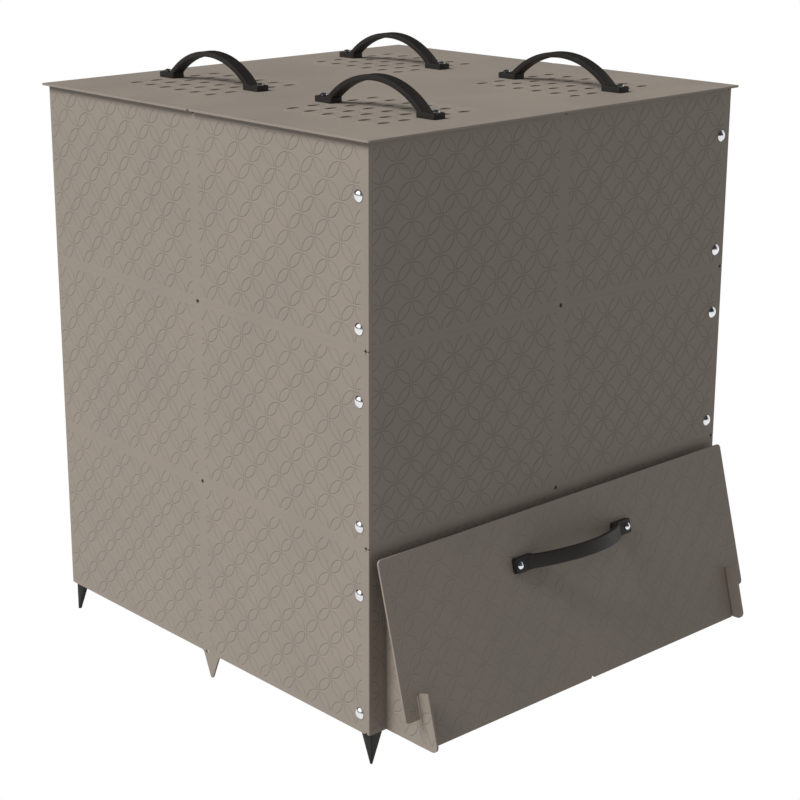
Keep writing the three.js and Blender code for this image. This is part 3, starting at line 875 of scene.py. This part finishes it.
def domedBolt(settings):
    # Along z, head up: the dome rests on z = 0, and the nut closes under the grip.
    bm = bmesh.new()
    headRadius, headHeight, radius = settings["headRadius"], settings["headHeight"], settings["radius"]
    domeHeight = headHeight - fastener["rim"]
    sphere = (headRadius ** 2 + domeHeight ** 2) / (2 * domeHeight)
    spread = math.asin(headRadius / sphere) / fastener["domeSteps"]
    dome = [(sphere * math.sin(spread * step), headHeight - sphere * (1 - math.cos(spread * step)))
            for step in range(fastener["domeSteps"] + 1)]
    end = -settings["grip"] - settings["nutHeight"] - settings["tail"]
    chamfer = fastener["chamfer"]
    underIn, underUp = fastener["underRim"]
    profile = [*dome, (headRadius, underUp), (headRadius - underIn, 0), (radius, 0), (radius, end + chamfer),
               (radius - chamfer, end), (0, end)]
    verts = [bm.verts.new((across, 0, up)) for across, up in profile]
    edges = [bm.edges.new(pair) for pair in zip(verts, verts[1:])]
    bmesh.ops.spin(bm, geom=verts + edges, cent=(0, 0, 0), axis=(0, 0, 1), angle=4 * quarterTurn,
                   steps=fastener["turnSteps"], use_merge=True, use_duplicate=False)
    weld(bm)
    bmesh.ops.recalc_face_normals(bm, faces=bm.faces[:])
    shank = meshFrom(bm, "shank")
    nut = bmesh.new()
    corner = settings["nutWidth"] / 2 / math.cos(math.pi / 6)
    place = Matrix.Translation((0, 0, -settings["grip"] - settings["nutHeight"] / 2))
    bmesh.ops.create_cone(nut, cap_ends=True, segments=6, radius1=corner, radius2=corner,
                          depth=settings["nutHeight"], matrix=place)
    roundEdges(nut, nut.edges[:], fastener["nutChamfer"])
    return combined(shank, [meshFrom(nut, "nut")], "UNION")


postThickness = 3 * mm
wallBolt = {"headRadius": 8.25 * mm, "headHeight": 4 * mm, "radius": 3 * mm, "nutWidth": 10 * mm,
            "nutHeight": 5 * mm, "tail": 2 * mm, "grip": 2 * sheet + postThickness + 4 * gap}
handleScrew = {"headRadius": 5.5 * mm, "headHeight": 3.5 * mm, "radius": 2.5 * mm, "nutWidth": 8 * mm,
               "nutHeight": 4 * mm, "tail": 1.5 * mm, "grip": handle["footHeight"] + sheet + 3 * gap}

def handleSet(name, body, matrix):
    # A handle and its two screws, on a sheet whose outer face is z = 0 of the matrix.
    addPiece(f"{name}_bow", handleShape, matrix @ Matrix.Translation((0, 0, gap)), blackPlastic, body,
             f"{name}_handle", smoothBelow=40)
    for index, x in enumerate((-screwReach, screwReach)):
        place = matrix @ Matrix.Translation((x, 0, handle["footHeight"] + 2 * gap))
        addPiece(f"{name}_domed_screw_{index + 1}", screwShape, place, brightSteel, body,
                 f"{name}_screw_{index + 1}", smoothBelow=35)


print("door and frame")
addPiece("door_frame_embossed", doorFramePanel(), standing(0, 0), taupeSheet, "bin", "door_frame_panel")
doorPlace = (Matrix.Translation((0, centreY - binHalf - doorTopOut, doorHigh.z))
             @ Matrix.Rotation(quarterTurn - lean, 4, "X"))
addPiece("door_embossed", doorSheet(), doorPlace, taupeSheet, "door", "door")

print("handles")
handleShape = handleMesh()
screwShape = domedBolt(handleScrew)
boltShape = domedBolt(wallBolt)
handleSet("door", "door", doorPlace @ Matrix.Translation((0, -door["handleDrop"], 0)))

# Lid
lid = {
    "ventColumns": 5,
    "ventRows": 6,
    "ventLength": 24 * mm,
    "ventWidth": 10 * mm,
    "cornerRound": 3 * mm,
    "creaseGap": 0.04 * mm,
}
lidReach = lidHigh.x


def vent():
    # The sides of an opening through the lid.
    bm = bmesh.new()
    boreThrough(bm, ringAt(bm, lens(lid["ventLength"], lid["ventWidth"], emboss["arcSteps"])))
    return meshFrom(bm, "vent")


def lidHalf():
    # The front half, flat, its crease along y = 0: vents along x, and embossed leaves along y between them.
    radius = wallPanel["notchRadius"]
    run = lid["cornerRound"]
    crease = -lid["creaseGap"] / 2
    right = [(lidReach, -lidReach, run),
             *arcPoints(lidReach, crease, radius, 3 * quarterTurn, 2 * quarterTurn, steps=6)]
    corners = [*right, *[(-x, y, r) for x, y, r in reversed(right)]]
    holes = [(side * lidReach / 2, -lidReach / 2 + along, handle["hole"]) for side in (-1, 1)
             for along in (-screwReach, screwReach)]
    extra = bmesh.new()
    opening = vent()
    for side in (-1, 1):
        middle = Vector((side * lidReach / 2, -lidReach / 2, 0))
        for column in range(lid["ventColumns"]):
            for row in range(lid["ventRows"]):
                offset = Vector((column - (lid["ventColumns"] - 1) / 2, row - (lid["ventRows"] - 1) / 2, 0))
                addMesh(extra, opening, Matrix.Translation(middle + offset * leafPitch))
        for column in range(lid["ventColumns"] + 1):
            for row in range(lid["ventRows"] - 1):
                offset = Vector((column - lid["ventColumns"] / 2, row - (lid["ventRows"] - 2) / 2, 0))
                addMesh(extra, leaf, Matrix.Translation(middle + offset * leafPitch)
                        @ Matrix.Rotation(quarterTurn, 4, "Z"))
    return meshFrom(sheetPiece(corners, holes, [meshFrom(extra, "lidExtra")]), "lidHalf")


print("lid")
lidShape = lidHalf()
for half, turns, sides in (("lid_front", 0, ("left", "right")), ("lid_rear", 2, ("right", "left"))):
    turned = aroundMiddle(turns, lidHigh.z)
    addPiece(f"{half}_vented", lidShape, turned, taupeSheet, half, half)
    for sideName, x in zip(sides, (-lidReach / 2, lidReach / 2)):
        spot = Matrix.Translation((x, -lidReach / 2, 0)) @ Matrix.Rotation(quarterTurn, 4, "Z")
        handleSet(f"{half}_{sideName}", half, turned @ spot)


# Posts and wall bolts
post = {
    "leg": 24 * mm,
    "tipHalf": 1.5 * mm,
    "pointHeight": 53 * mm,
    "topDrop": 5 * mm,
    "heel": 1.5 * mm,
    "edgeRound": 0.5 * mm,
    "sharpDegrees": 50,
}


def postMesh():
    # The front left corner post: an angle cut to a point across the corner, in the bin's own place.
    corner = Vector((-flangeFace + sheet + gap, -flangeFace, 0))
    leg = post["leg"]
    plan = [(0, 0, post["heel"]), (leg, 0, 0), (leg, postThickness, 0), (postThickness, postThickness, 0),
            (postThickness, leg, 0), (0, leg, 0)]
    height = wallBottom + (len(rowNames) - 1) * rowPitch + panelHeight - post["topDrop"]
    bm = prism([(x + corner.x, y + corner.y, run) for x, y, run in plan], height)
    slope = Vector((leg / root2 - post["tipHalf"], post["pointHeight"])).normalized()
    across = Vector((1, -1, 0)).normalized()
    for side in (-1, 1):
        normal = across * side * slope.y - Vector((0, 0, slope.x))
        cutPlane(bm, corner + across * side * post["tipHalf"], normal)
        bmesh.ops.holes_fill(bm, edges=[edge for edge in bm.edges if edge.is_boundary], sides=0)
    bmesh.ops.recalc_face_normals(bm, faces=bm.faces[:])
    sharp = [edge for edge in bm.edges
             if len(edge.link_faces) == 2 and edge.calc_face_angle() > math.radians(post["sharpDegrees"])]
    roundEdges(bm, sharp, post["edgeRound"])
    cutters = []
    for level in boltLevels:
        place = Matrix.Translation((corner.x, -binHalf + wallPanel["boltInset"], level))
        cutters.append(roundCutter(wallPanel["boltHole"], place @ Matrix.Rotation(quarterTurn, 4, "Y")))
    return combined(meshFrom(bm, "post"), cutters, "DIFFERENCE")


print("posts and bolts")
postShape = postMesh()
for turns, (wallName, cornerName) in enumerate(zip(wallNames, cornerNames)):
    turned = aroundMiddle(turns)
    addPiece(f"corner_stake_{cornerName}", postShape, turned, blackPaint, "bin", f"corner_post_{cornerName}",
             smoothBelow=35)
    for index, level in enumerate(boltLevels):
        spot = Matrix.Translation((binHalf - wallPanel["boltInset"], -binHalf - gap, level))
        place = turned @ spot @ Matrix.Rotation(quarterTurn, 4, "X")
        addPiece(f"{wallName}_domed_bolt_{index + 1}", boltShape, place, brightSteel, "bin",
                 f"{wallName}_bolt_{index + 1}", smoothBelow=35)


# Floor, light and camera
studio = {
    "floorSize": 80.0,
    "floorBounce": 0.35,
    "skyStrength": 0.322,
    "key": {"azimuth": -104, "elevation": 46.5, "softness": 28, "strength": 3.37},
    "roomTone": 0.04,
    "leftPanel": {"azimuth": -112, "elevation": 14, "radius": 36, "horizon": (0.16, 0.24), "strength": 1.6},
    "rightPanel": {"azimuth": 76, "elevation": 12, "radius": 30, "horizon": (-0.2, -0.1), "strength": 0.9},
    "panelEdgeShare": 0.92,
}


def facing(azimuthDegrees, elevationDegrees):
    # A direction from the part. Azimuth 0 looks at the front, and the left side is at -90.
    azimuth, elevation = math.radians(azimuthDegrees), math.radians(elevationDegrees)
    return Vector((math.sin(azimuth) * math.cos(elevation), -math.cos(azimuth) * math.cos(elevation),
                   math.sin(elevation)))


def whiteFloor():
    # Seen and mirrored as plain white, it sends back only part of the light that falls on it.
    bm = bmesh.new()
    bmesh.ops.create_grid(bm, x_segments=1, y_segments=1, size=studio["floorSize"] / 2)
    floor = newObject("floor", meshFrom(bm, "floor"))
    material = bpy.data.materials.new("whiteFloor")
    material.use_nodes = True
    nodes, links = material.node_tree.nodes, material.node_tree.links
    bounce = nodes["Principled BSDF"]
    bounce.inputs["Base Color"].default_value = (*[studio["floorBounce"]] * 3, 1)
    bounce.inputs["Roughness"].default_value = 0.9
    bounce.inputs["Specular IOR Level"].default_value = 0.0
    white = nodes.new("ShaderNodeEmission")
    seen = nodes.new("ShaderNodeLightPath")
    choose = nodes.new("ShaderNodeMixShader")
    links.new(seen.outputs["Is Diffuse Ray"], choose.inputs["Fac"])
    links.new(white.outputs["Emission"], choose.inputs[1])
    links.new(bounce.outputs["BSDF"], choose.inputs[2])
    links.new(choose.outputs["Shader"], nodes["Material Output"].inputs["Surface"])
    material.cycles.emission_sampling = "NONE"
    floor.data.materials.append(material)


def background(nodes, strength):
    made = nodes.new("ShaderNodeBackground")
    made.inputs["Color"].default_value = (1, 1, 1, 1)
    made.inputs["Strength"].default_value = strength
    return made


def brightPanel(tree, direction, settings):
    # How bright one round panel is in a direction, cut off towards the horizon.
    turned = tree.nodes.new("ShaderNodeVectorMath")
    turned.operation = "DOT_PRODUCT"
    turned.inputs[1].default_value = facing(settings["azimuth"], settings["elevation"])
    tree.links.new(direction, turned.inputs[0])
    split = tree.nodes.new("ShaderNodeSeparateXYZ")
    tree.links.new(direction, split.inputs["Vector"])
    radius = math.radians(settings["radius"])
    full = math.cos(studio["panelEdgeShare"] * radius)
    inside = rangeNode(tree, turned.outputs["Value"], math.cos(radius), full, "SMOOTHSTEP")
    above = rangeNode(tree, split.outputs["Z"], *settings["horizon"], "SMOOTHSTEP")
    return mathNode(tree, "MULTIPLY", mathNode(tree, "MULTIPLY", inside, above), settings["strength"])


def studioSky():
    # Even light for the pieces and white for the eye. Gloss mirrors a dark room with a bright panel on
    # either side.
    world = bpy.data.worlds.new("studioSky")
    world.use_nodes = True
    bpy.context.scene.world = world
    tree = world.node_tree
    nodes, links = tree.nodes, tree.links
    seen = nodes.new("ShaderNodeLightPath")
    direction = nodes.new("ShaderNodeTexCoord").outputs["Generated"]
    total = studio["roomTone"]
    for panel in ("leftPanel", "rightPanel"):
        total = mathNode(tree, "ADD", total, brightPanel(tree, direction, studio[panel]))
    room = background(nodes, 1.0)
    links.new(total, room.inputs["Strength"])
    gloss = nodes.new("ShaderNodeMixShader")
    links.new(seen.outputs["Is Glossy Ray"], gloss.inputs["Fac"])
    links.new(background(nodes, studio["skyStrength"]).outputs["Background"], gloss.inputs[1])
    links.new(room.outputs["Background"], gloss.inputs[2])
    eye = nodes.new("ShaderNodeMixShader")
    links.new(seen.outputs["Is Camera Ray"], eye.inputs["Fac"])
    links.new(gloss.outputs["Shader"], eye.inputs[1])
    links.new(background(nodes, 1.0).outputs["Background"], eye.inputs[2])
    links.new(eye.outputs["Shader"], nodes["World Output"].inputs["Surface"])


def keyLight():
    # A soft light from the left and slightly from behind, which gloss doesn't mirror.
    settings = studio["key"]
    light = bpy.data.lights.new("key", "SUN")
    light.energy = settings["strength"]
    light.angle = math.radians(settings["softness"])
    lamp = newObject("key", light)
    lamp.rotation_mode = "QUATERNION"
    lamp.rotation_quaternion = facing(settings["azimuth"], settings["elevation"]).to_track_quat("Z", "Y")
    lamp.visible_glossy = False


view = {
    "eye": Vector((-1880.3, -2045.9, 1180.6)) * mm,
    "azimuth": -41.0,
    "elevation": 16.123,
    "roll": -0.353,
    "lens": 83.67,
    "sensor": 36.0,
    "shiftX": 0.0797,
    "shiftY": -0.0463,
}


def photoCamera():
    # The camera where the photograph was taken, from the middle of the bin at the lower edge of its walls.
    data = bpy.data.cameras.new("camera")
    data.lens, data.sensor_width = view["lens"], view["sensor"]
    data.shift_x, data.shift_y = view["shiftX"], view["shiftY"]
    data.clip_start, data.clip_end = 0.05, 200
    back = facing(view["azimuth"], view["elevation"])
    right = (-back).cross(Vector((0, 0, 1))).normalized()
    up = right.cross(-back)
    roll = math.radians(view["roll"])
    right, up = right * math.cos(roll) + up * math.sin(roll), up * math.cos(roll) - right * math.sin(roll)
    camera = newObject("camera", data)
    turn = Matrix((right, up, back)).transposed().to_4x4()
    camera.matrix_world = Matrix.Translation(view["eye"] + Vector((0, centreY, wallBottom))) @ turn
    bpy.context.scene.camera = camera


print("stage")
whiteFloor()
studioSky()
keyLight()
photoCamera()
bpy.context.scene.view_settings.view_transform = "Standard"

print("done")
